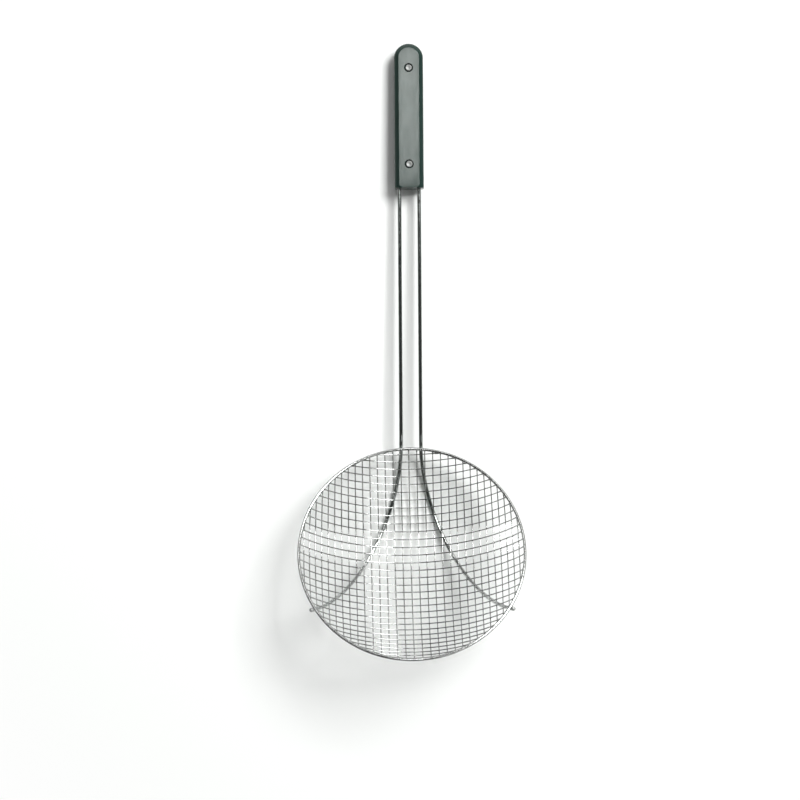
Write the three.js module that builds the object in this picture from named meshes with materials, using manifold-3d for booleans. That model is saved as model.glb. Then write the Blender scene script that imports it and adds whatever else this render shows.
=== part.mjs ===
// A fry scoop: a dish of welded wire mesh in a rim ring, carried by a hairpin of steel rod
// whose legs run through a riveted two-piece grip. Millimetres, +Z up. The scoop lies on a table
// with its mouth up and its grip towards +Y. The origin is on the table, under the middle.

import * as THREE from 'three';
import { mergeVertices } from 'three/addons/utils/BufferGeometryUtils.js';
import Module from 'manifold-3d';

// Bowl
const rimOuterDiameter = 203;
const rimWire = 2.7;
const bowlDepth = 51; // from the plane of the rim to the mesh at its deepest
const meshWire = 1.0;
const meshPitch = 7.25; // from wire to wire, along the mesh
const layerClearance = 0.15; // between wires that cross
const wireEndClearance = 0.3; // between a wire's end and the rim
const loosePerWay = 26; // wires each way that are pieces of their own; shorter ones join the rim

// Handle rod
const rodDiameter = 3.5;
const legSpacing = 17.8; // between the centres of the two legs
const legLength = 227.6; // from the heel bend to the grip
const handleAngle = 24; // degrees between the legs and the plane of the rim
const heelReach = 8; // from the rim to the corner of the heel bend
const armNearBottom = 40; // along the mesh, from the bowl's deepest point to an arm
const armEndTurn = 121; // degrees round the rim, from the handle to the end of an arm
const armOverhang = 0.5; // how far an arm runs on past the rim
const rodSeatClearance = 0.3; // between the arms and the rim

// Grip
const gripLength = 131.4;
const gripWidth = 26.4;
const gripThickness = 18;
const gripBevel = 3.9; // width of the bevel round each face
const gripBevelDepth = 3.2;
const gripMouthRound = 0.8; // round at the end that the rods come out of
const gripSeam = 0.3; // between the two scales
const channelClearance = 0.3; // between the rod and its channel

// Rivets
const rivetFromTip = 22.4; // from the grip's round end to the upper rivet
const rivetSpacing = 87.5;
const rivetHeadDiameter = 6;
const rivetShankDiameter = 4;
const rivetEdge = 0.5; // bevel round each head
const pocketDiameter = 8.2;
const pocketDepth = 2;
const rivetRecess = 0.3; // how far a head lies below the face
const rivetClearance = 0.3; // round the shank and under the heads

// Facets
const meshWireSides = 6;
const meshStepHalfPitches = 4; // between the rings of a wire, in half pitches of the mesh
const rodSides = 8;
const rimSides = 8;
const rimSteps = 72;
const armSteps = 30;
const heelSteps = 4;
const hairpinSteps = 12;
const gripArcSteps = 16;
const roundSteps = 3;
const rivetSides = 16;

// Radius of the corners of a section with few sides and the area of a full round.
function cornerRadius(diameter, sides) {
  return (diameter / 2) * Math.sqrt((2 * Math.PI) / (sides * Math.sin((2 * Math.PI) / sides)));
}

// Sizes that follow from the ones above
const rimRadius = (rimOuterDiameter - rimWire) / 2;
const bowlRadius = (rimRadius ** 2 + bowlDepth ** 2) / (2 * bowlDepth);
const rimAngle = Math.atan2(rimRadius, bowlRadius - bowlDepth);
const meshCorner = cornerRadius(meshWire, meshWireSides);
const meshFlat = meshCorner * Math.cos(Math.PI / meshWireSides);
const rodCorner = cornerRadius(rodDiameter, rodSides);
const rimCorner = cornerRadius(rimWire, rimSides);
const halfPitchAngle = meshPitch / 2 / bowlRadius;
const meshSag = bowlRadius * (1 - Math.cos((meshStepHalfPitches * halfPitchAngle) / 2));
const layerOffset = (2 * meshFlat + meshSag + layerClearance) / 2;
const armRadius = bowlRadius + rimCorner + rodCorner + rodSeatClearance;
const gripEnd = legLength + gripLength;
const hairpinY = gripEnd - gripWidth / 2;

const wasm = await Module();
wasm.setup();

// A closed geometry as a solid that can be joined and cut.
function solidOf(geometry) {
  const plain = new THREE.BufferGeometry();
  plain.setAttribute('position', geometry.getAttribute('position'));
  plain.setIndex(geometry.getIndex());
  const merged = mergeVertices(plain);
  return new wasm.Manifold(
    new wasm.Mesh({
      numProp: 3,
      vertProperties: merged.getAttribute('position').array,
      triVerts: new Uint32Array(merged.getIndex().array),
    }),
  );
}

function geometryOf(solid) {
  const cut = solid.getMesh();
  const geometry = new THREE.BufferGeometry();
  geometry.setAttribute('position', new THREE.BufferAttribute(cut.vertProperties, 3));
  geometry.setIndex(new THREE.BufferAttribute(cut.triVerts, 1));
  return geometry;
}

// A wire's centreline, with a ring at each of its points. upAt gives the direction that the
// section's first axis leans towards there.
class WireLine extends THREE.Curve {
  constructor(points, upAt) {
    super();
    this.points = points;
    this.upAt = upAt;
  }

  getSpacedPoints() {
    return this.points;
  }

  computeFrenetFrames() {
    const frames = { tangents: [], normals: [], binormals: [] };
    const last = this.points.length - 1;
    this.points.forEach((point, index) => {
      const before = this.points[Math.max(index - 1, 0)];
      const after = this.points[Math.min(index + 1, last)];
      const arriving = point.clone().sub(before).normalize();
      const leaving = after.clone().sub(point).normalize();
      const tangent = arriving.add(leaving).normalize();
      const normal = this.upAt(point).clone().projectOnPlane(tangent).normalize();
      frames.tangents.push(tangent);
      frames.normals.push(normal);
      frames.binormals.push(tangent.clone().cross(normal));
    });
    return frames;
  }
}

// A wire of even section along a centreline. Its first corner is turned by firstTurn from the
// direction that upAt gives.
function wireGeometry(points, upAt, corner, sides, firstTurn) {
  const outline = [];
  for (let side = 0; side < sides; side += 1) {
    const turn = firstTurn + (2 * Math.PI * side) / sides;
    outline.push(new THREE.Vector2(corner * Math.cos(turn), corner * Math.sin(turn)));
  }
  return new THREE.ExtrudeGeometry(new THREE.Shape(outline), {
    steps: points.length - 1,
    extrudePath: new WireLine(points, upAt),
  });
}

function steel() {
  return new THREE.MeshStandardMaterial({ color: 0xc3c6c8, metalness: 1, roughness: 0.22 });
}

function darkSteel() {
  return new THREE.MeshStandardMaterial({ color: 0x6f7472, metalness: 1, roughness: 0.25 });
}

function gripPlastic() {
  return new THREE.MeshStandardMaterial({ color: 0x25302c, metalness: 0, roughness: 0.35 });
}

function namedMesh(name, geometry, material) {
  const mesh = new THREE.Mesh(geometry, material);
  mesh.name = name;
  return mesh;
}

// Welded mesh. The bowl's frame has the sphere's centre at its origin, +Y towards the handle
// and +Z out of the mouth. Mesh pressed into a dish keeps the length of every cell's sides,
// so its cells shear: each new corner is the half turn of the opposite corner about the middle
// of the cell. Corners are counted in half pitches from the bottom of the dish.
const netReach = Math.ceil((2 * rimAngle) / halfPitchAngle);

function makeNet() {
  const net = [];
  for (let across = 0; across <= netReach; across += 1) {
    const column = [];
    for (let along = 0; along <= netReach; along += 1) {
      if (across === 0 || along === 0) {
        const tilt = (across + along) * halfPitchAngle;
        const side = Math.sin(tilt);
        column.push(new THREE.Vector3(across ? side : 0, along ? side : 0, -Math.cos(tilt)));
      } else {
        const opposite = net[across - 1][along - 1];
        const middle = net[across - 1][along].clone().add(column[along - 1]).normalize();
        const corner = middle.clone().multiplyScalar(2 * opposite.dot(middle)).sub(opposite);
        column.push(corner);
      }
    }
    net.push(column);
  }
  return net;
}

const net = makeNet();

function netPoint(across, along) {
  const corner = net[Math.abs(across)][Math.abs(along)];
  return new THREE.Vector3(Math.sign(across) * corner.x, Math.sign(along) * corner.y, corner.z);
}

function angleFromBottom(point) {
  return Math.atan2(Math.hypot(point.x, point.y), -point.z);
}

// Half of a wire, from its middle outwards, cut off at an angle from the bottom.
function halfWire(pointAt, step, endAngle) {
  const shortestEnd = 0.12; // of a step
  const points = [];
  let place = 0;
  let point = pointAt(place);
  while (angleFromBottom(point) < endAngle) {
    points.push(point);
    place += step;
    point = pointAt(place);
  }
  const inside = points[points.length - 1];
  const insideAngle = angleFromBottom(inside);
  const share = (endAngle - insideAngle) / (angleFromBottom(point) - insideAngle);
  if (share < shortestEnd && points.length > 1) {
    points.pop();
  }
  points.push(inside.clone().lerp(point, share));
  return points;
}

// All of a wire: its two halves, from one end to the other.
function wholeWire(pointAt, endAngle) {
  const ahead = halfWire(pointAt, meshStepHalfPitches, endAngle);
  const behind = halfWire(pointAt, -meshStepHalfPitches, endAngle);
  return behind.slice(1).reverse().concat(ahead);
}

function outwards(point) {
  return point;
}

// The wires one way, from one edge of the mesh to the other: those in the middle as meshes of
// their own, and the short ones at the edges as solids to join to the rim.
function makeWires(name, offset, pointOf) {
  const stopGap = (rimCorner + wireEndClearance + meshCorner) / bowlRadius;
  const lastAngle = rimAngle - (rimCorner + meshCorner + meshWire) / bowlRadius;
  const count = Math.floor(rimAngle / (2 * halfPitchAngle));
  const loose = [];
  const joined = [];
  for (let wire = -count - 1; wire <= count; wire += 1) {
    const pointAt = (place) => pointOf(wire, place);
    if (angleFromBottom(pointAt(0)) < lastAngle) {
      const isLoose = Math.abs(wire + offset) < loosePerWay / 2;
      const points = wholeWire(pointAt, rimAngle - (isLoose ? stopGap : 0));
      const flatIn = Math.PI / meshWireSides;
      const geometry = wireGeometry(points, outwards, meshCorner, meshWireSides, flatIn);
      if (isLoose) {
        const number = String(loose.length + 1).padStart(2, '0');
        loose.push(namedMesh(`${name}_${number}`, geometry, steel()));
      } else {
        joined.push(solidOf(geometry));
      }
    }
  }
  return { loose, joined };
}

// Warps run along the handle, on the outside of the bowl, and wefts across it, on the inside.
function warpPoint(warp, along) {
  return netPoint(2 * warp, along).multiplyScalar(bowlRadius + layerOffset);
}

function weftPoint(weft, across) {
  return netPoint(across, 2 * weft + 1).multiplyScalar(bowlRadius - layerOffset);
}

const warps = makeWires('warp_wire', 0, warpPoint);
const wefts = makeWires('weft_wire', 0.5, weftPoint);

function makeRim() {
  const ring = new THREE.TorusGeometry(rimRadius, rimCorner, rimSides, rimSteps);
  ring.translate(0, 0, bowlDepth - bowlRadius);
  const joined = [...warps.joined, ...wefts.joined];
  const whole = joined.reduce((sum, wire) => sum.add(wire), solidOf(ring));
  return namedMesh('rim_ring', geometryOf(whole), steel());
}

// Point under the bowl, at the depth of the arms: turn counts round the rim from the handle.
function underBowl(turn, angle) {
  const out = Math.sin(angle);
  return new THREE.Vector3(out * Math.sin(turn), out * Math.cos(turn), -Math.cos(angle))
    .multiplyScalar(armRadius);
}

// One arm, from the corner of its heel bend to its end: a round arc in one plane.
function armPoints() {
  const heelAngle = rimAngle + heelReach / armRadius;
  const heelTurn = Math.asin(legSpacing / 2 / (armRadius * Math.sin(heelAngle)));
  const endTurn = THREE.MathUtils.degToRad(armEndTurn);
  const heel = underBowl(heelTurn, heelAngle);
  const nearest = underBowl((heelTurn + endTurn) / 2, armNearBottom / bowlRadius);
  const end = underBowl(endTurn, rimAngle);
  const axis = nearest.clone().sub(heel).cross(end.clone().sub(heel)).normalize();
  const centre = axis.clone().multiplyScalar(axis.dot(heel));
  const spoke = heel.clone().sub(centre);
  const endSpoke = end.clone().sub(centre);
  const sweep = Math.atan2(axis.dot(spoke.clone().cross(endSpoke)), spoke.dot(endSpoke));
  const wholeSweep = sweep + armOverhang / spoke.length();
  const points = [];
  for (let step = 0; step <= armSteps; step += 1) {
    const turned = spoke.clone().applyAxisAngle(axis, (wholeSweep * step) / armSteps);
    points.push(turned.add(centre));
  }
  return points;
}

// The handle's frame has its origin between the heels, +Y along the legs towards the grip and
// +Z square to the plane of the legs. The bowl hangs in it by its handle angle.
const arm = armPoints();
const bowl = new THREE.Group();
bowl.rotation.x = -THREE.MathUtils.degToRad(handleAngle);
bowl.position.copy(new THREE.Vector3(0, arm[0].y, arm[0].z).applyEuler(bowl.rotation).negate());
bowl.updateMatrix();

// Half of the hairpin, from the end of its arm to the middle of the bend in the grip.
function halfHairpin() {
  const armInHandle = arm.map((point) => point.clone().applyMatrix4(bowl.matrix));
  const heel = armInHandle[0];
  const legStart = new THREE.Vector3(heel.x, heel.y + heelReach, heel.z);
  const fromHeel = armInHandle.filter((point) => point.distanceTo(heel) > heelReach);
  const bend = new THREE.QuadraticBezierCurve3(fromHeel[0], heel, legStart);
  const points = fromHeel.slice(1).reverse().concat(bend.getPoints(heelSteps));
  for (let step = 0; step <= hairpinSteps / 2; step += 1) {
    const turn = (Math.PI * step) / hairpinSteps;
    const radius = legSpacing / 2;
    points.push(new THREE.Vector3(radius * Math.cos(turn), hairpinY + radius * Math.sin(turn), 0));
  }
  return points;
}

function makeHairpin() {
  const half = halfHairpin();
  const mirrored = half.slice(0, -1).reverse();
  const otherHalf = mirrored.map((point) => new THREE.Vector3(-point.x, point.y, point.z));
  return half.concat(otherHalf);
}

const hairpin = makeHairpin();
const up = new THREE.Vector3(0, 0, 1);

function rodGeometry(corner) {
  return wireGeometry(hairpin, () => up, corner, rodSides, 0);
}

// Rivet pocket or rivet: a round of two wide ends and a narrow middle, square to the grip.
function spool(profile, y) {
  const lower = profile.map(([radius, height]) => new THREE.Vector2(radius, -height));
  const upper = profile.map(([radius, height]) => new THREE.Vector2(radius, height)).reverse();
  const geometry = new THREE.LatheGeometry(lower.concat(upper), rivetSides);
  geometry.rotateX(Math.PI / 2);
  geometry.translate(0, y, 0);
  return geometry;
}

const upperRivetY = gripEnd - rivetFromTip;
const rivetYs = { upper_rivet: upperRivetY, lower_rivet: upperRivetY - rivetSpacing };
const pocketFloor = gripThickness / 2 - pocketDepth;

function pocketGeometry(y) {
  const past = gripThickness / 2 + pocketDepth;
  const hole = rivetShankDiameter / 2 + rivetClearance;
  const profile = [
    [0, past],
    [pocketDiameter / 2, past],
    [pocketDiameter / 2, pocketFloor],
    [hole, pocketFloor],
  ];
  return spool(profile, y);
}

function rivetGeometry(y) {
  const top = gripThickness / 2 - rivetRecess;
  const under = pocketFloor + rivetClearance;
  const head = rivetHeadDiameter / 2;
  const profile = [
    [0, top],
    [head - rivetEdge, top],
    [head, top - rivetEdge],
    [head, under],
    [rivetShankDiameter / 2, under],
  ];
  return spool(profile, y);
}

// Both scales as one block: the plan with a bevel round both faces, trimmed by the side view,
// whose corners are round at the end that the rods come out of.
function gripBlock() {
  const half = gripWidth / 2;
  const pastMouth = legLength - 2 * gripBevel;
  const plan = new THREE.Shape();
  plan.moveTo(-half, pastMouth);
  plan.lineTo(half, pastMouth);
  plan.lineTo(half, gripEnd - half);
  plan.absarc(0, gripEnd - half, half, 0, Math.PI, false);
  const planBlock = new THREE.ExtrudeGeometry(plan, {
    depth: gripThickness - 2 * gripBevelDepth,
    bevelThickness: gripBevelDepth,
    bevelSize: gripBevel,
    bevelOffset: -gripBevel,
    bevelSegments: 1,
    curveSegments: gripArcSteps,
  });
  planBlock.translate(0, 0, gripBevelDepth - gripThickness / 2);

  const level = gripThickness / 2 - gripMouthRound;
  const roundY = legLength + gripMouthRound;
  const pastTip = gripEnd + gripBevel;
  const sideView = new THREE.Shape();
  sideView.moveTo(pastTip, -gripThickness);
  sideView.lineTo(pastTip, gripThickness);
  sideView.lineTo(roundY + gripMouthRound, gripThickness);
  sideView.lineTo(roundY, gripThickness / 2);
  sideView.absarc(roundY, level, gripMouthRound, Math.PI / 2, Math.PI, false);
  sideView.absarc(roundY, -level, gripMouthRound, Math.PI, 1.5 * Math.PI, false);
  sideView.lineTo(roundY + gripMouthRound, -gripThickness);
  const sideBlock = new THREE.ExtrudeGeometry(sideView, {
    depth: 2 * gripWidth,
    bevelEnabled: false,
    curveSegments: roundSteps,
  });
  sideBlock.translate(0, 0, -gripWidth);
  const sideways = new THREE.Matrix4().makeBasis(
    new THREE.Vector3(0, 1, 0),
    new THREE.Vector3(0, 0, 1),
    new THREE.Vector3(1, 0, 0),
  );
  sideBlock.applyMatrix4(sideways);
  return solidOf(planBlock).intersect(solidOf(sideBlock));
}

// The part of the block on one side (+1 front, -1 rear) of the seam, with the rod's channel
// and the rivets' pockets cut out.
function makeScale(name, side, block) {
  const keep = new THREE.BoxGeometry(2 * gripWidth, 2 * gripEnd, gripThickness);
  keep.translate(0, gripEnd, (side * (gripThickness + gripSeam)) / 2);
  let scale = block.intersect(solidOf(keep));
  scale = scale.subtract(solidOf(rodGeometry(rodCorner + channelClearance)));
  for (const y of Object.values(rivetYs)) {
    scale = scale.subtract(solidOf(pocketGeometry(y)));
  }
  return namedMesh(name, geometryOf(scale), gripPlastic());
}

// Assembly in the handle's frame
bowl.add(...warps.loose, ...wefts.loose, makeRim());
const block = gripBlock();
const scoop = new THREE.Group();
scoop.add(bowl);
scoop.add(namedMesh('handle_rod', rodGeometry(rodCorner), darkSteel()));
scoop.add(makeScale('grip_front_scale', 1, block));
scoop.add(makeScale('grip_rear_scale', -1, block));
for (const [name, y] of Object.entries(rivetYs)) {
  scoop.add(namedMesh(name, rivetGeometry(y), steel()));
}

// Angle that sets a point of the rod level with the heel of the grip's rear face.
function levelAngle(point) {
  const along = gripEnd - gripBevel - point.y;
  const above = point.z + gripThickness / 2;
  return Math.asin(rodCorner / Math.hypot(along, above)) - Math.atan2(above, along);
}

// At rest the scoop lies on its two arms and on the end of its grip.
scoop.rotation.x = -Math.max(...hairpin.filter((point) => point.y < 0).map(levelAngle));
const box = new THREE.Box3().setFromObject(scoop, true);
const middle = box.getCenter(new THREE.Vector3());
scoop.position.set(-middle.x, -middle.y, -box.min.z);

const part = new THREE.Group();
part.add(scoop);
export default part;
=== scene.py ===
import math

import bpy
import numpy as np
from mathutils import Matrix, Quaternion, Vector


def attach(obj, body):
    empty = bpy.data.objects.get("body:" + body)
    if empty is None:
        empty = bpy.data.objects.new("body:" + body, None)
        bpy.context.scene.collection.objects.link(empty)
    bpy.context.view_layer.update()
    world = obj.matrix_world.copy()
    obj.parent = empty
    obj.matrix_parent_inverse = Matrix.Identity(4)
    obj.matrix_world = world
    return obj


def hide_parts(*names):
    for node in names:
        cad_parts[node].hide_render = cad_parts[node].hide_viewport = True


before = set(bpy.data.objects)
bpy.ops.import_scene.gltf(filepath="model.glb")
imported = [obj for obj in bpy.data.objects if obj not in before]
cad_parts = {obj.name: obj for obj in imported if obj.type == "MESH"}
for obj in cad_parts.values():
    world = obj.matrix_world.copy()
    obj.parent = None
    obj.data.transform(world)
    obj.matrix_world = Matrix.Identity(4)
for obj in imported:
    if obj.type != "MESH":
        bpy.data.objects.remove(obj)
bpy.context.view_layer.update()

MM = 0.001

# Bowl
RIM_OUTER = 203.0
RIM_WIRE = 2.7
BOWL_DEPTH = 51.0
MESH_WIRE = 1.0
MESH_PITCH = 7.25
WELD_SINK = 0.1  # how far crossing wires are pressed into each other
NET_STEPS = 4  # steps of the mesh's net to a pitch
NET_MARGIN = 1.3  # how far the net reaches, as a share of the way to the rim
BRAZE_REACH = 2.2  # length of the brazed fillet at a wire's end
BRAZE_SWELL = 0.45  # how much the fillet adds to the wire's radius
MESH_TURN = math.radians(1.1)  # how far the mesh lies askew in the rim
MESH_SHIFT = (-0.3, -1.5)  # how far the mesh's middle is off the dish's

# Rod
ROD = 3.5
LEG_SPACING = 17.8
LEG_LENGTH = 227.6
HANDLE_ANGLE = math.radians(24)
HEEL_REACH = 8.0
ARM_NEAR_BOTTOM = 40.0
ARM_END_TURN = math.radians(121)
ARM_OVERHANG = 0.5
ARM_DEPTH = 3.56  # from the mesh's middle to the arms' centreline
CAD_ARM_STEPS = 30  # the solids' steps along an arm, one of which starts the heel's bend

# Grip
GRIP_LENGTH = 131.4
GRIP_WIDTH = 26.4
GRIP_THICKNESS = 18.0
GRIP_BEVEL = 3.9
BEVEL_DEPTH = 3.2
SEAM = 0.3
SEAM_EDGE = 0.45  # size of the broken edge at the seam
OUTER_ROUND = 2.5  # radius between a side and its bevel
FACE_ROUND = 0.9  # radius between a bevel and its face
MOUTH_ROUND = 0.8
CORNER_ROUND = 0.9  # radius of the outline's corners at the mouth
CHANNEL_CLEARANCE = 0.12  # round the rod
GRIP_END = LEG_LENGTH + GRIP_LENGTH

# Rivets
RIVET_FROM_TIP = 22.4
RIVET_SPACING = 87.5
POCKET_RADIUS = 4.1
POCKET_DEPTH = 2.0
HEAD_RADIUS = 3.0
SHANK_RADIUS = 2.0
RIVET_RECESS = 0.3
HEAD_CLEARANCE = 0.06  # between a head and the foot of its pocket
SHANK_CLEARANCE = 0.05
HEAD_SEAT = 0.02  # between a head's underside and the pocket's floor

# Facets
WIRE_SIDES = 10
RIM_SIDES = 20
RIM_STEPS = 288
ROD_SIDES = 18
CAP_SIDES = 20
RIVET_SIDES = 48
POCKET_SIDES = 64

# Angles between facets, in degrees, from which an edge is sharp
WIRE_SHARP = 40
SCALE_SHARP = 32
RIVET_SHARP = 50

# Places of the handle's and the bowl's own frames, at rest
REST_TILT = math.radians(-1.7315)
HEEL_PLACE = Vector((0, -84.475, 19.725))
SPHERE_PLACE = Vector((0, -151.353, 127.795))

# Studio, in metres
LAMP_HEIGHT = 6.0
FLOOR_REACH = 6.0

RIM_RADIUS = (RIM_OUTER - RIM_WIRE) / 2
BOWL_RADIUS = (RIM_RADIUS**2 + BOWL_DEPTH**2) / (2 * BOWL_DEPTH)
RIM_ANGLE = math.atan2(RIM_RADIUS, BOWL_RADIUS - BOWL_DEPTH)
handle_frame = Matrix.Translation(HEEL_PLACE * MM) @ Matrix.Rotation(REST_TILT, 4, "X")
bowl_frame = Matrix.Translation(SPHERE_PLACE * MM) @ Matrix.Rotation(REST_TILT - HANDLE_ANGLE, 4, "X")


# Mesh making
class MeshParts:
    """Vertices in millimetres, faces and UVs of one piece, gathered from several sweeps."""

    def __init__(self):
        self.vertices = []
        self.faces = []
        self.uvs = []
        self.count = 0

    def add(self, vertices, faces, uvs):
        self.vertices.append(vertices)
        self.faces.extend([tuple(index + self.count for index in face) for face in faces])
        self.uvs.extend(uvs)
        self.count += len(vertices)


def unit(vectors):
    return vectors / np.linalg.norm(vectors, axis=-1, keepdims=True)


def sweep(parts, points, radii, sides, ups, closed=False):
    """A round wire along points, with a radius and an up direction at each of them."""
    points = np.asarray(points, float)
    count = len(points)
    radii = np.broadcast_to(np.asarray(radii, float), (count,))
    ups = np.broadcast_to(np.asarray(ups, float), (count, 3))
    if closed:
        tangents = unit(np.roll(points, -1, 0) - np.roll(points, 1, 0))
    else:
        tangents = unit(np.gradient(points, axis=0))
    normals = unit(ups - np.sum(ups * tangents, 1, keepdims=True) * tangents)
    sideways = np.cross(tangents, normals)
    turns = 2 * np.pi * np.arange(sides) / sides
    up_shares = np.cos(turns)[None, :, None]
    side_shares = np.sin(turns)[None, :, None]
    spokes = up_shares * normals[:, None] + side_shares * sideways[:, None]
    vertices = (points[:, None] + radii[:, None, None] * spokes).reshape(-1, 3)
    lengths = np.concatenate([[0], np.cumsum(np.linalg.norm(np.diff(points, axis=0), axis=1))])
    closing = np.linalg.norm(points[0] - points[-1])
    faces = []
    uvs = []
    for ring in range(count if closed else count - 1):
        following = (ring + 1) % count
        end_length = lengths[following] if following else lengths[ring] + closing
        for side in range(sides):
            other = (side + 1) % sides
            faces.append((
                ring * sides + side,
                ring * sides + other,
                following * sides + other,
                following * sides + side,
            ))
            low = side / sides
            high = (side + 1) / sides
            uvs.extend([
                (lengths[ring], low),
                (lengths[ring], high),
                (end_length, high),
                (end_length, low),
            ])
    if not closed:
        last = (count - 1) * sides
        faces.append(tuple(range(sides - 1, -1, -1)))
        faces.append(tuple(last + side for side in range(sides)))
        uvs.extend([(0, 0)] * sides + [(lengths[-1], 0)] * sides)
    parts.add(vertices, faces, uvs)


def piece(name, parts, place, material, nodes):
    """A piece made of sweeps, in the handle's or the bowl's frame, standing for CAD nodes."""
    mesh = bpy.data.meshes.new(name)
    vertices = np.concatenate(parts.vertices) * MM
    mesh.from_pydata(vertices.tolist(), [], parts.faces)
    layer = mesh.uv_layers.new(name="along_and_round")
    layer.data.foreach_set("uv", np.array(parts.uvs, np.float32).ravel())
    dress(name, mesh, place, material, nodes, WIRE_SHARP)


def dress(name, mesh, place, material, nodes, sharp_from):
    """Makes a finished mesh an object of the scene, with its material, slot and CAD nodes."""
    mesh.transform(place)
    mesh.validate()
    mesh.polygons.foreach_set("use_smooth", [True] * len(mesh.polygons))
    mesh.set_sharp_from_angle(angle=math.radians(sharp_from))
    mesh.materials.clear()
    mesh.materials.append(material)
    made = bpy.data.objects.new(name, mesh)
    bpy.context.scene.collection.objects.link(made)
    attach(made, "root")
    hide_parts(*nodes)


# Materials
def add_node(tree, kind, inputs=None, **settings):
    made = tree.nodes.new(kind)
    for key, value in settings.items():
        setattr(made, key, value)
    for key, value in (inputs or {}).items():
        made.inputs[key].default_value = value
    return made


def new_material(name, **sockets):
    material = bpy.data.materials.new(name)
    material.use_nodes = True
    tree = material.node_tree
    shader = tree.nodes["Principled BSDF"]
    for key, value in sockets.items():
        shader.inputs[key.replace("_", " ")].default_value = value
    return material, tree, shader


def noise(tree, vector, scale, detail=3.0):
    made = add_node(tree, "ShaderNodeTexNoise", {"Scale": scale, "Detail": detail})
    tree.links.new(vector, made.inputs["Vector"])
    return made.outputs["Fac"]


def stretched(tree, vector, scale):
    made = add_node(tree, "ShaderNodeMapping", {"Scale": scale})
    tree.links.new(vector, made.inputs["Vector"])
    return made.outputs["Vector"]


def ramp(tree, factor, low, high, start=0.3, end=0.7):
    made = add_node(tree, "ShaderNodeValToRGB")
    made.color_ramp.elements[0].position = start
    made.color_ramp.elements[0].color = (*low, 1)
    made.color_ramp.elements[1].position = end
    made.color_ramp.elements[1].color = (*high, 1)
    tree.links.new(factor, made.inputs["Fac"])
    return made.outputs["Color"]


def spread(tree, factor, low, high, start=0.3, end=0.7):
    made = add_node(
        tree,
        "ShaderNodeMapRange",
        {"From Min": start, "From Max": end, "To Min": low, "To Max": high},
    )
    tree.links.new(factor, made.inputs["Value"])
    return made.outputs["Result"]


def bump(tree, shader, height, strength, distance):
    made = add_node(tree, "ShaderNodeBump", {"Strength": strength, "Distance": distance})
    tree.links.new(height, made.inputs["Height"])
    tree.links.new(made.outputs["Normal"], shader.inputs["Normal"])
    return made


def drawn_metal(name, dull, bright, smooth, rough, lump_height):
    """Plated or drawn steel: cloudy tone, shallow lumps, and fine die lines along the wire."""
    material, tree, shader = new_material(name, Metallic=1.0)
    where = add_node(tree, "ShaderNodeTexCoord")
    clouds = noise(tree, where.outputs["Object"], scale=260)
    tree.links.new(ramp(tree, clouds, dull, bright), shader.inputs["Base Color"])
    specks = noise(tree, where.outputs["Object"], scale=1400, detail=4)
    tree.links.new(spread(tree, specks, smooth, rough), shader.inputs["Roughness"])
    along_wire = stretched(tree, where.outputs["UV"], scale=(0.05, 14, 1))
    lines = noise(tree, along_wire, scale=3, detail=2)
    fine = bump(tree, shader, lines, strength=0.25, distance=0.00004)
    lumps = bump(tree, shader, clouds, strength=1.0, distance=lump_height)
    tree.links.new(fine.outputs["Normal"], lumps.inputs["Normal"])
    return material


def grip_plastic():
    """Moulded black plastic with a green cast: cloudy tone, fine grain, and rubs that change its gloss."""
    material, tree, shader = new_material("grip_plastic")
    shader.inputs["IOR"].default_value = 1.5
    shader.inputs["Specular Tint"].default_value = (0.96, 1.0, 0.97, 1)
    where = add_node(tree, "ShaderNodeTexCoord")
    clouds = noise(tree, where.outputs["Object"], scale=90)
    tone = ramp(tree, clouds, (0.010, 0.026, 0.021), (0.015, 0.035, 0.029))
    tree.links.new(tone, shader.inputs["Base Color"])
    grain = noise(tree, where.outputs["Object"], scale=2600, detail=2)
    along_grip = stretched(tree, where.outputs["Object"], scale=(900, 60, 900))
    rubs = noise(tree, along_grip, scale=1)
    tree.links.new(spread(tree, rubs, low=0.16, high=0.21), shader.inputs["Roughness"])
    bump(tree, shader, grain, strength=0.12, distance=0.00005)
    return material


def turned_aluminium():
    """Rivet heads with fine rings from setting and a soft satin tone."""
    material, tree, shader = new_material("rivet_metal", Metallic=1.0)
    where = add_node(tree, "ShaderNodeTexCoord")
    clouds = noise(tree, where.outputs["Object"], scale=700)
    tone = ramp(tree, clouds, (0.30, 0.31, 0.30), (0.40, 0.41, 0.40))
    tree.links.new(tone, shader.inputs["Base Color"])
    tree.links.new(spread(tree, clouds, low=0.52, high=0.64), shader.inputs["Roughness"])
    rings = add_node(
        tree,
        "ShaderNodeTexWave",
        {"Scale": 1.6, "Distortion": 1.5, "Detail": 2},
        wave_type="BANDS",
        bands_direction="X",
    )
    tree.links.new(where.outputs["UV"], rings.inputs["Vector"])
    bump(tree, shader, rings.outputs["Fac"], strength=0.2, distance=0.00005)
    return material


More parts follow.
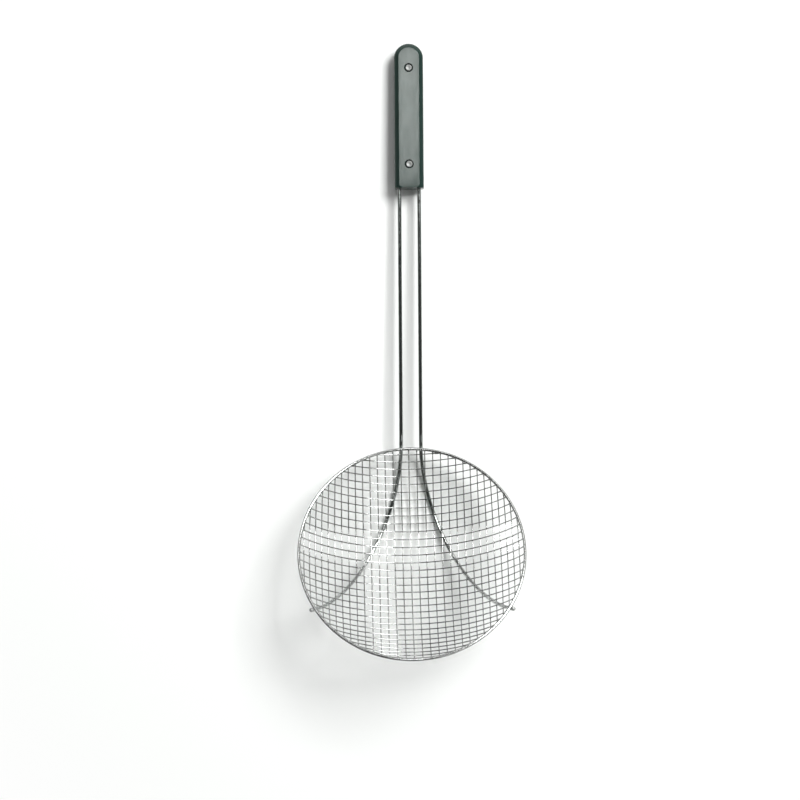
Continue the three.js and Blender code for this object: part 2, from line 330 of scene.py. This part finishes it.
def paint_end_reflection(material, length):
    """Lets a swept rod's tone pass, near both ends, to a paler and duller tone, a painted reflection that
    lightens the arms' lower parts.
    """
    reflection_from = 150  # millimetres from an end
    reflection_to = 85
    # painted reflection: the paler tone that the arms' lower parts take near both ends
    painted_reflection_tone = (0.66, 0.67, 0.66, 1)
    end_roughness = 0.26
    tree = material.node_tree
    shader = tree.nodes["Principled BSDF"]
    where = add_node(tree, "ShaderNodeTexCoord")
    split = add_node(tree, "ShaderNodeSeparateXYZ")
    tree.links.new(where.outputs["UV"], split.inputs["Vector"])
    middle = add_node(tree, "ShaderNodeMath", {1: length / 2}, operation="SUBTRACT")
    tree.links.new(split.outputs["X"], middle.inputs[0])
    away = add_node(tree, "ShaderNodeMath", operation="ABSOLUTE")
    tree.links.new(middle.outputs["Value"], away.inputs[0])
    share = spread(tree, away.outputs["Value"], 0, 1, length / 2 - reflection_from, length / 2 - reflection_to)
    tone = add_node(tree, "ShaderNodeMixRGB", {"Color2": painted_reflection_tone})
    tree.links.new(share, tone.inputs["Fac"])
    tree.links.new(shader.inputs["Base Color"].links[0].from_socket, tone.inputs["Color1"])
    tree.links.new(tone.outputs["Color"], shader.inputs["Base Color"])
    sheen = add_node(tree, "ShaderNodeMapRange", {"To Max": end_roughness})
    tree.links.new(share, sheen.inputs["Value"])
    tree.links.new(shader.inputs["Roughness"].links[0].from_socket, sheen.inputs["To Min"])
    tree.links.new(sheen.outputs["Result"], shader.inputs["Roughness"])


def weld_metal():
    """Welds left as they were made: dull grey, with small ripples."""
    material, tree, shader = new_material("weld_metal", Metallic=1.0)
    where = add_node(tree, "ShaderNodeTexCoord")
    clouds = noise(tree, where.outputs["Object"], scale=500)
    tone = ramp(tree, clouds, (0.46, 0.47, 0.46), (0.60, 0.61, 0.60))
    tree.links.new(tone, shader.inputs["Base Color"])
    tree.links.new(spread(tree, clouds, low=0.45, high=0.62), shader.inputs["Roughness"])
    ripples = noise(tree, where.outputs["Object"], scale=1800, detail=2)
    bump(tree, shader, ripples, strength=0.4, distance=0.0001)
    return material


wire_plate = drawn_metal(
    "plated_wire",
    dull=(0.36, 0.37, 0.36),
    bright=(0.50, 0.51, 0.50),
    smooth=0.06,
    rough=0.17,
    lump_height=0.00009,
)
rim_plate = drawn_metal(
    "plated_rim",
    dull=(0.42, 0.43, 0.42),
    bright=(0.53, 0.54, 0.53),
    smooth=0.10,
    rough=0.17,
    lump_height=0.00006,
)
rod_plate = drawn_metal(
    "rod_steel",
    dull=(0.23, 0.25, 0.24),
    bright=(0.33, 0.35, 0.34),
    smooth=0.06,
    rough=0.12,
    lump_height=0.00003,
)
weld = weld_metal()
plastic = grip_plastic()
aluminium = turned_aluminium()


# Welded mesh, in the bowl's frame: the sphere's centre at its origin, +Y towards the handle.
# Each new corner of the net is the half turn of the opposite one about the middle of the cell.
step_angle = MESH_PITCH / NET_STEPS / BOWL_RADIUS
net_reach = math.ceil(NET_MARGIN * RIM_ANGLE / step_angle)


def make_net():
    """Directions from the sphere's centre to the net's corners, in one quarter of the dish."""
    corners = np.zeros((net_reach + 1, net_reach + 1, 3))
    for across in range(net_reach + 1):
        for along in range(net_reach + 1):
            if across == 0 or along == 0:
                tilt = (across + along) * step_angle
                side = math.sin(tilt)
                corners[across, along] = (side if across else 0, side if along else 0, -math.cos(tilt))
            else:
                opposite = corners[across - 1, along - 1]
                middle = unit(corners[across - 1, along] + corners[across, along - 1])
                corners[across, along] = 2 * opposite.dot(middle) * middle - opposite
    return corners


net = make_net()


def net_line(fixed, is_warp):
    """Directions along one line of the net, from one edge to the other."""
    steps = np.arange(-net_reach, net_reach + 1)
    row = net[abs(fixed), np.abs(steps)] if is_warp else net[np.abs(steps), abs(fixed)]
    row = row.copy()
    signs = (np.sign(fixed) * np.ones(len(steps)), np.sign(steps))
    across, along = signs if is_warp else signs[::-1]
    row[:, 0] *= across
    row[:, 1] *= along
    return row


def clipped(points, angles, limit):
    """The middle run of points whose angle from the bottom is under a limit, cut to it at both ends."""
    inside = np.nonzero(angles < limit)[0]
    first, last = inside[0], inside[-1]
    ends = []
    for edge, outer in ((first, first - 1), (last, last + 1)):
        share = (limit - angles[edge]) / (angles[outer] - angles[edge])
        ends.append(points[edge] + share * (points[outer] - points[edge]))
    return np.concatenate([[ends[0]], points[first : last + 1], [ends[1]]])


def wire_radii(points):
    """The wire's radius, growing into a brazed fillet where it meets the rim."""
    angles = np.arctan2(np.hypot(points[:, 0], points[:, 1]), -points[:, 2])
    to_rim = (RIM_ANGLE - angles) * BOWL_RADIUS - RIM_WIRE / 2
    swell = np.clip(1 - to_rim / BRAZE_REACH, 0, 1) ** 2
    return MESH_WIRE / 2 + BRAZE_SWELL * swell


def mesh_wires(is_warp):
    """Warps run along the handle, outside, and wefts across it, inside, welded where they cross."""
    parts = MeshParts()
    layer = (MESH_WIRE - WELD_SINK) / 2 * (1 if is_warp else -1)
    most = int(RIM_ANGLE * BOWL_RADIUS / MESH_PITCH)
    for number in range(-most - 1, most + 1):
        fixed = number * NET_STEPS if is_warp else number * NET_STEPS + NET_STEPS // 2
        if abs(fixed) * step_angle > RIM_ANGLE - RIM_WIRE / BOWL_RADIUS:
            continue
        directions = net_line(fixed, is_warp) @ net_turn.T
        angles = np.arctan2(np.hypot(directions[:, 0], directions[:, 1]), -directions[:, 2])
        points = clipped(directions * (BOWL_RADIUS + layer), angles, RIM_ANGLE)
        sweep(parts, points, wire_radii(points), WIRE_SIDES, unit(points))
    return parts


# The turn and shift of the mesh in the rim, as one turn about the sphere's centre
net_turn = np.array(
    Matrix.Rotation(-MESH_SHIFT[0] / BOWL_RADIUS, 3, "Y")
    @ Matrix.Rotation(MESH_SHIFT[1] / BOWL_RADIUS, 3, "X")
    @ Matrix.Rotation(MESH_TURN, 3, "Z")
)
warp_nodes = [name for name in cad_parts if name.startswith("warp_wire")]
weft_nodes = [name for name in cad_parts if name.startswith("weft_wire")]
piece("warp_wires", mesh_wires(True), bowl_frame, wire_plate, warp_nodes)
piece("weft_wires", mesh_wires(False), bowl_frame, wire_plate, weft_nodes)


# Rim ring, with the swelling of the butt weld that closes it on the handle's side
def rim_ring():
    weld_turn = math.radians(90)
    weld_half_length = 2.2
    weld_swell = 0.08
    turns = 2 * np.pi * np.arange(RIM_STEPS) / RIM_STEPS
    height = BOWL_DEPTH - BOWL_RADIUS
    points = np.stack([
        RIM_RADIUS * np.cos(turns),
        RIM_RADIUS * np.sin(turns),
        np.full(RIM_STEPS, height),
    ], 1)
    from_weld = RIM_RADIUS * np.abs(turns - weld_turn)
    radii = RIM_WIRE / 2 + weld_swell * np.exp(-((from_weld / weld_half_length) ** 2))
    parts = MeshParts()
    sweep(parts, points, radii, RIM_SIDES, (0, 0, 1), closed=True)
    return parts


piece("rim", rim_ring(), bowl_frame, rim_plate, ["rim_ring"])


# Hairpin rod, in the handle's frame: origin between the heels, +Y along the legs
arm_radius = BOWL_RADIUS + ARM_DEPTH
bowl_in_handle = handle_frame.inverted() @ bowl_frame


def under_bowl(turn, angle):
    out = math.sin(angle)
    return Vector((out * math.sin(turn), out * math.cos(turn), -math.cos(angle))) * arm_radius


def to_handle(point):
    return (bowl_in_handle @ (point * MM)) / MM


def arm_arc():
    """The arm's circle: its centre, its spoke to the heel, its axis and its whole sweep."""
    heel_angle = RIM_ANGLE + HEEL_REACH / arm_radius
    heel_turn = math.asin(LEG_SPACING / 2 / (arm_radius * math.sin(heel_angle)))
    heel = under_bowl(heel_turn, heel_angle)
    nearest = under_bowl((heel_turn + ARM_END_TURN) / 2, ARM_NEAR_BOTTOM / BOWL_RADIUS)
    end = under_bowl(ARM_END_TURN, RIM_ANGLE)
    axis = (nearest - heel).cross(end - heel).normalized()
    centre = axis * axis.dot(heel)
    spoke = heel - centre
    end_spoke = end - centre
    turned = math.atan2(axis.dot(spoke.cross(end_spoke)), spoke.dot(end_spoke))
    return centre, spoke, axis, turned + ARM_OVERHANG / spoke.length


def half_hairpin():
    """Half of the rod's centreline, from the end of an arm to the middle of the bend in the grip."""
    arm_steps = 72
    bend_steps = 14
    leg_steps = 60
    turn_steps = 20
    centre, spoke, axis, whole = arm_arc()

    def on_arm(share):
        return to_handle(centre + Quaternion(axis, whole * share) @ spoke)

    heel = on_arm(0)
    shares = [step / CAD_ARM_STEPS for step in range(CAD_ARM_STEPS)]
    bend_share = next(share for share in shares if (on_arm(share) - heel).length > HEEL_REACH)
    points = [on_arm(1 + (bend_share - 1) * step / arm_steps) for step in range(arm_steps)]
    bend_start = on_arm(bend_share)
    leg_start = heel + Vector((0, HEEL_REACH, 0))
    for step in range(bend_steps):
        share = step / bend_steps
        points.append(
            bend_start * (1 - share) ** 2 + heel * 2 * share * (1 - share) + leg_start * share**2
        )
    radius = LEG_SPACING / 2
    turn_y = GRIP_END - GRIP_WIDTH / 2
    for step in range(leg_steps):
        points.append(Vector((radius, leg_start.y + (turn_y - leg_start.y) * step / leg_steps, 0)))
    for step in range(turn_steps + 1):
        turn = math.pi / 2 * step / turn_steps
        points.append(Vector((radius * math.cos(turn), turn_y + radius * math.sin(turn), 0)))
    return points


def hairpin():
    half = half_hairpin()
    other = [Vector((-point.x, point.y, point.z)) for point in reversed(half[:-1])]
    return np.array([tuple(point) for point in half + other])


rod_line = hairpin()
# paints a paler tone near both ends of the rod, standing in for the light that the arms reflect
paint_end_reflection(rod_plate, float(np.linalg.norm(np.diff(rod_line, axis=0), axis=1).sum()))


def rounded_ends(points, radius):
    """Points and radii of a rod whose ends are rounded off."""
    round_steps = 6
    bulge = 0.6  # the rounding's length, as a share of the radius
    lead = unit(points[0] - points[1])
    tail = unit(points[-1] - points[-2])
    turns = np.pi / 2 * np.arange(1, round_steps + 1) / (round_steps + 0.5)
    outs = radius * bulge * np.sin(turns)
    caps = radius * np.cos(turns)
    start = points[0] + lead * outs[::-1, None]
    end = points[-1] + tail * outs[:, None]
    radii = np.concatenate([caps[::-1], np.full(len(points), radius), caps])
    return np.concatenate([start, points, end]), radii


def rod_parts():
    parts = MeshParts()
    points, radii = rounded_ends(rod_line, ROD / 2)
    sweep(parts, points, radii, ROD_SIDES, (0, 0, 1))
    return parts


piece("handle_hairpin", rod_parts(), handle_frame, rod_plate, ["handle_rod"])


def arm_end_welds():
    """Caps of weld metal over the ends of the arms, where they are joined to the rim."""
    cap_length = 3.4
    cap_thickness = 0.12
    cap_edge = 0.01  # thickness where a cap runs out
    cap_steps = 9
    end_steps = 12  # points of the rod's line that a cap follows
    tip_steps = 6
    bulge = 0.7  # the tip's length, as a share of the rod's radius
    parts = MeshParts()
    for end in (rod_line[:end_steps], rod_line[::-1][:end_steps]):
        along = np.concatenate([[0], np.cumsum(np.linalg.norm(np.diff(end, axis=0), axis=1))])
        steps = np.linspace(0, cap_length, cap_steps)
        points = np.stack([np.interp(steps, along, end[:, axis]) for axis in range(3)], 1)
        swell = cap_thickness * np.sqrt(np.clip(1 - (steps / cap_length) ** 2, 0, 1)) + cap_edge
        lead = unit(points[0] - points[1])
        tip_turns = np.pi / 2 * np.arange(tip_steps, 0, -1) / (tip_steps + 0.5)
        tip = points[0] + lead * (ROD / 2 * bulge * np.sin(tip_turns))[:, None]
        tip_radii = (ROD / 2 + cap_thickness) * np.cos(tip_turns)
        radii = np.concatenate([tip_radii, ROD / 2 + swell])
        sweep(parts, np.concatenate([tip, points]), radii, CAP_SIDES, (0, 0, 1))
    return parts


piece("arm_end_caps", arm_end_welds(), handle_frame, weld, ["handle_rod"])


# Grip scales
def profile_points():
    """Inset from the outline and height above the middle, from the seam to the face."""
    half = GRIP_THICKNESS / 2
    edge_middle = 0.12  # how far the broken edge's middle point is from its two sides
    round_steps = 8
    side_heights = (1.5, 2.2)  # rings on the upright side
    points = [
        (SEAM_EDGE, SEAM / 2),
        (edge_middle, SEAM / 2 + edge_middle),
        (0, SEAM / 2 + SEAM_EDGE),
    ]
    points += [(0, height) for height in side_heights]
    bevel_turn = math.atan2(GRIP_BEVEL, BEVEL_DEPTH)
    below = OUTER_ROUND * math.tan(bevel_turn / 2)
    beyond = FACE_ROUND * math.tan((math.pi / 2 - bevel_turn) / 2)
    corners = [
        (OUTER_ROUND, half - BEVEL_DEPTH - below, OUTER_ROUND, 0, bevel_turn),
        (GRIP_BEVEL + beyond, half - FACE_ROUND, FACE_ROUND, bevel_turn, math.pi / 2),
    ]
    for inset, height, radius, start, end in corners:
        for step in range(round_steps + 1):
            turn = start + (end - start) * step / round_steps
            points.append((inset - radius * math.cos(turn), height + radius * math.sin(turn)))
    return points


def outline_ring(inset, height):
    """The grip's outline, drawn in by an inset, at a height."""
    corner_steps = 8
    side_steps = 30
    tip_steps = 64
    corner_growth = 0.5  # how much a corner's radius grows with the inset
    half = GRIP_WIDTH / 2 - inset
    corner = CORNER_ROUND + corner_growth * inset
    above_round = min(max(0.0, height - (GRIP_THICKNESS / 2 - MOUTH_ROUND)), MOUTH_ROUND)
    mouth = LEG_LENGTH + MOUTH_ROUND - math.sqrt(MOUTH_ROUND**2 - above_round**2)
    tip = GRIP_END - GRIP_WIDTH / 2
    points = []
    for step in range(corner_steps + 1):
        turn = math.radians(-90 + 90 * step / corner_steps)
        points.append((half - corner + corner * math.cos(turn), mouth + corner + corner * math.sin(turn)))
    for step in range(1, side_steps):
        points.append((half, mouth + corner + (tip - mouth - corner) * step / side_steps))
    for step in range(tip_steps + 1):
        turn = math.pi * step / tip_steps
        points.append((half * math.cos(turn), tip + half * math.sin(turn)))
    for step in range(side_steps - 1, 0, -1):
        points.append((-half, mouth + corner + (tip - mouth - corner) * step / side_steps))
    for step in range(corner_steps + 1):
        turn = math.radians(180 + 90 * step / corner_steps)
        points.append((-half + corner + corner * math.cos(turn), mouth + corner + corner * math.sin(turn)))
    return [(x, y, height) for x, y in points]


def scale_body(name, side):
    """One scale before it is cut, in front of the seam (+1) or behind it (-1)."""
    rings = [outline_ring(inset, height) for inset, height in profile_points()]
    count = len(rings[0])
    vertices = [Vector((x, y, side * z)) * MM for ring in rings for x, y, z in ring]
    faces = []
    for ring in range(len(rings) - 1):
        for at in range(count):
            other = (at + 1) % count
            low = ring * count
            high = low + count
            faces.append((low + at, low + other, high + other, high + at))
    faces.append(tuple(range(count - 1, -1, -1)))
    faces.append(tuple((len(rings) - 1) * count + at for at in range(count)))
    if side < 0:
        faces = [face[::-1] for face in faces]
    mesh = bpy.data.meshes.new(name)
    mesh.from_pydata(vertices, [], faces)
    return mesh


def lathe(profile, sides):
    """Vertices and faces of a round about Z. The profile's first and last points are on the axis."""
    vertices = [Vector((0, 0, profile[0][1])) * MM]
    for radius, height in profile[1:-1]:
        for side in range(sides):
            turn = 2 * math.pi * side / sides
            vertices.append(Vector((radius * math.cos(turn), radius * math.sin(turn), height)) * MM)
    vertices.append(Vector((0, 0, profile[-1][1])) * MM)
    rows = len(profile) - 2
    faces = []
    for side in range(sides):
        other = (side + 1) % sides
        faces.append((0, 1 + other, 1 + side))
        for row in range(rows - 1):
            low = 1 + row * sides
            high = low + sides
            faces.append((low + side, low + other, high + other, high + side))
        last = 1 + (rows - 1) * sides
        faces.append((last + side, last + other, len(vertices) - 1))
    return vertices, faces


def double(profile):
    """A profile and its mirror image below the middle, from the bottom up."""
    lower = [(radius, -height) for radius, height in profile]
    return lower + profile[::-1]


def cutter_object(vertices, faces):
    mesh = bpy.data.meshes.new("cutter")
    mesh.from_pydata(vertices, [], faces)
    made = bpy.data.objects.new("cutter", mesh)
    bpy.context.scene.collection.objects.link(made)
    return made


def pocket_cutter(y):
    """What a rivet takes out of the grip: a flared pocket in each face, and the hole between them."""
    above = 1  # how far the cutter stands out of the face
    half = GRIP_THICKNESS / 2
    floor = half - POCKET_DEPTH
    foot = HEAD_RADIUS + HEAD_CLEARANCE
    flare = POCKET_RADIUS + (POCKET_RADIUS - foot) / POCKET_DEPTH * above
    hole = SHANK_RADIUS + SHANK_CLEARANCE
    profile = [(0, half + above), (flare, half + above), (foot, floor), (hole, floor)]
    vertices, faces = lathe(double(profile), POCKET_SIDES)
    return cutter_object([vertex + Vector((0, y * MM, 0)) for vertex in vertices], faces)


def channel_cutter():
    parts = MeshParts()
    sweep(parts, rod_line, ROD / 2 + CHANNEL_CLEARANCE, ROD_SIDES, (0, 0, 1))
    vertices = (np.concatenate(parts.vertices) * MM).tolist()
    return cutter_object(vertices, parts.faces)


rivet_places = {"upper_rivet": GRIP_END - RIVET_FROM_TIP}
rivet_places["lower_rivet"] = rivet_places["upper_rivet"] - RIVET_SPACING


def grip_scale(name, side, node):
    """A scale with the rod's channel and the rivets' pockets cut out of it."""
    body = bpy.data.objects.new("body", scale_body(name + "_body", side))
    bpy.context.scene.collection.objects.link(body)
    cutters = [channel_cutter()] + [pocket_cutter(y) for y in rivet_places.values()]
    for cutter in cutters:
        cut = body.modifiers.new("cut", "BOOLEAN")
        cut.operation = "DIFFERENCE"
        cut.solver = "EXACT"
        cut.object = cutter
    bpy.context.view_layer.update()
    evaluated = body.evaluated_get(bpy.context.evaluated_depsgraph_get())
    mesh = bpy.data.meshes.new_from_object(evaluated)
    mesh.name = name
    for gone in [body] + cutters:
        bpy.data.objects.remove(gone)
    dress(name, mesh, handle_frame, plastic, [node], SCALE_SHARP)


grip_scale("front_scale", 1, "grip_front_scale")
grip_scale("rear_scale", -1, "grip_rear_scale")


# Rivets
def rivet(name, y):
    """A rivet whose two heads are dished in the middle and rounded at the edge."""
    top = GRIP_THICKNESS / 2 - RIVET_RECESS
    under = GRIP_THICKNESS / 2 - POCKET_DEPTH + HEAD_SEAT
    # Radius and depth under the top, from the middle of the dish to the rounded edge
    crown = [
        (0, 0.38),
        (0.7, 0.36),
        (1.35, 0.24),
        (1.8, 0.06),
        (2.1, 0),
        (2.45, 0.03),
        (2.75, 0.17),
        (2.92, 0.38),
        (HEAD_RADIUS, 0.7),
    ]
    head = [(radius, top - depth) for radius, depth in crown]
    head += [(HEAD_RADIUS, under), (SHANK_RADIUS, under)]
    vertices, faces = lathe(double(head), RIVET_SIDES)
    mesh = bpy.data.meshes.new(name)
    mesh.from_pydata(vertices, [], faces)
    layer = mesh.uv_layers.new(name="out_from_axis")
    for loop in mesh.loops:
        layer.data[loop.index].uv = (vertices[loop.vertex_index].xy.length / MM, 0)
    place = handle_frame @ Matrix.Translation(Vector((0, y * MM, 0)))
    dress(name + "_set", mesh, place, aluminium, [name], RIVET_SHARP)


for rivet_name, rivet_y in rivet_places.items():
    rivet(rivet_name, rivet_y)


# Floor, light and camera
def seen_share(tree, share):
    """A share of plain white for the rays that show the background, and none for the light it gives."""
    rays = add_node(tree, "ShaderNodeLightPath")
    seen = rays.outputs["Is Camera Ray"]
    for kind in ("Is Glossy Ray", "Is Transmission Ray"):
        either = add_node(tree, "ShaderNodeMath", operation="MAXIMUM")
        tree.links.new(seen, either.inputs[0])
        tree.links.new(rays.outputs[kind], either.inputs[1])
        seen = either.outputs["Value"]
    both = add_node(tree, "ShaderNodeMath", operation="MULTIPLY")
    tree.links.new(seen, both.inputs[0])
    tree.links.new(share, both.inputs[1])
    return both.outputs["Value"]


def make_floor():
    """A pale matt floor that keeps the shadow and fades, far from the scoop, to plain white."""
    white_from = 0.42  # metres from the middle, where the floor fades to plain white
    white_to = 0.60
    material, tree, shader = new_material("floor", Roughness=0.9)
    shader.inputs["Base Color"].default_value = (0.955, 0.97, 0.955, 1)
    shader.inputs["Specular IOR Level"].default_value = 0.0
    where = add_node(tree, "ShaderNodeTexCoord")
    far = add_node(tree, "ShaderNodeVectorMath", operation="LENGTH")
    tree.links.new(where.outputs["Object"], far.inputs[0])
    fade = spread(tree, far.outputs["Value"], 0, 1, white_from, white_to)
    white = add_node(tree, "ShaderNodeEmission", {"Strength": 1.0})
    mixed = add_node(tree, "ShaderNodeMixShader")
    tree.links.new(seen_share(tree, fade), mixed.inputs["Fac"])
    tree.links.new(shader.outputs["BSDF"], mixed.inputs[1])
    tree.links.new(white.outputs["Emission"], mixed.inputs[2])
    tree.links.new(mixed.outputs["Shader"], tree.nodes["Material Output"].inputs["Surface"])
    mesh = bpy.data.meshes.new("floor")
    signs = [(-1, -1), (1, -1), (1, 1), (-1, 1)]
    mesh.from_pydata([(x * FLOOR_REACH, y * FLOOR_REACH, 0) for x, y in signs], [], [(0, 1, 2, 3)])
    mesh.materials.append(material)
    floor = bpy.data.objects.new("floor", mesh)
    bpy.context.scene.collection.objects.link(floor)


def make_world():
    """Dim overhead and paler towards the horizon, where a white backdrop shows behind the floor."""
    overhead = 0.075
    horizon = 0.21
    sky_rise = (0.05, 0.75)  # rise of a direction, from the horizon's level to the overhead one
    backdrop_rise = (0.02, 0.08)  # rise of a direction, over which the backdrop fades out
    world = bpy.data.worlds.new("studio")
    bpy.context.scene.world = world
    world.use_nodes = True
    tree = world.node_tree
    around = tree.nodes["Background"]
    around.inputs["Color"].default_value = (1, 1, 1, 1)
    where = add_node(tree, "ShaderNodeTexCoord")
    split = add_node(tree, "ShaderNodeSeparateXYZ")
    tree.links.new(where.outputs["Generated"], split.inputs["Vector"])
    level = spread(tree, split.outputs["Z"], horizon, overhead, *sky_rise)
    tree.links.new(level, around.inputs["Strength"])
    plain = add_node(tree, "ShaderNodeBackground", {"Color": (1, 1, 1, 1), "Strength": 1.0})
    backdrop = spread(tree, split.outputs["Z"], 1, 0, *backdrop_rise)
    mixed = add_node(tree, "ShaderNodeMixShader")
    tree.links.new(seen_share(tree, backdrop), mixed.inputs["Fac"])
    tree.links.new(around.outputs["Background"], mixed.inputs[1])
    tree.links.new(plain.outputs["Background"], mixed.inputs[2])
    tree.links.new(mixed.outputs["Shader"], tree.nodes["World Output"].inputs["Surface"])


def softbox(name, x, y, wide, deep, power):
    """A level lamp that faces straight down, wide along X and deep along Y."""
    lamp = bpy.data.lights.new(name, "AREA")
    lamp.shape = "RECTANGLE"
    lamp.size = wide
    lamp.size_y = deep
    lamp.energy = power
    made = bpy.data.objects.new(name, lamp)
    made.location = (x, y, LAMP_HEIGHT)
    bpy.context.scene.collection.objects.link(made)


def make_camera():
    """Straight above, as in the photograph, whose frame is 800 pixels wide."""
    focal_pixels = 2191.66
    frame_pixels = 800
    place = Vector((-9.637, -48.459, 2000.9))  # millimetres
    turn = math.radians(-0.37)
    camera = bpy.data.cameras.new("camera")
    camera.sensor_width = 36
    camera.lens = camera.sensor_width * focal_pixels / frame_pixels
    camera.clip_end = 20
    made = bpy.data.objects.new("camera", camera)
    made.location = place * MM
    made.rotation_euler = (0, 0, turn)
    bpy.context.scene.collection.objects.link(made)
    bpy.context.scene.camera = made


make_floor()
make_world()
softbox("key", x=3.6, y=3.4, wide=3.4, deep=3.6, power=860)
softbox("top", x=0.03, y=1.54, wide=0.8, deep=1.0, power=30)
softbox("fill", x=3.4, y=-3.4, wide=3.0, deep=3.0, power=50)
softbox("back", x=0.2, y=6.65, wide=2.7, deep=1.8, power=90)
make_camera()
bpy.context.scene.view_settings.view_transform = "Standard"
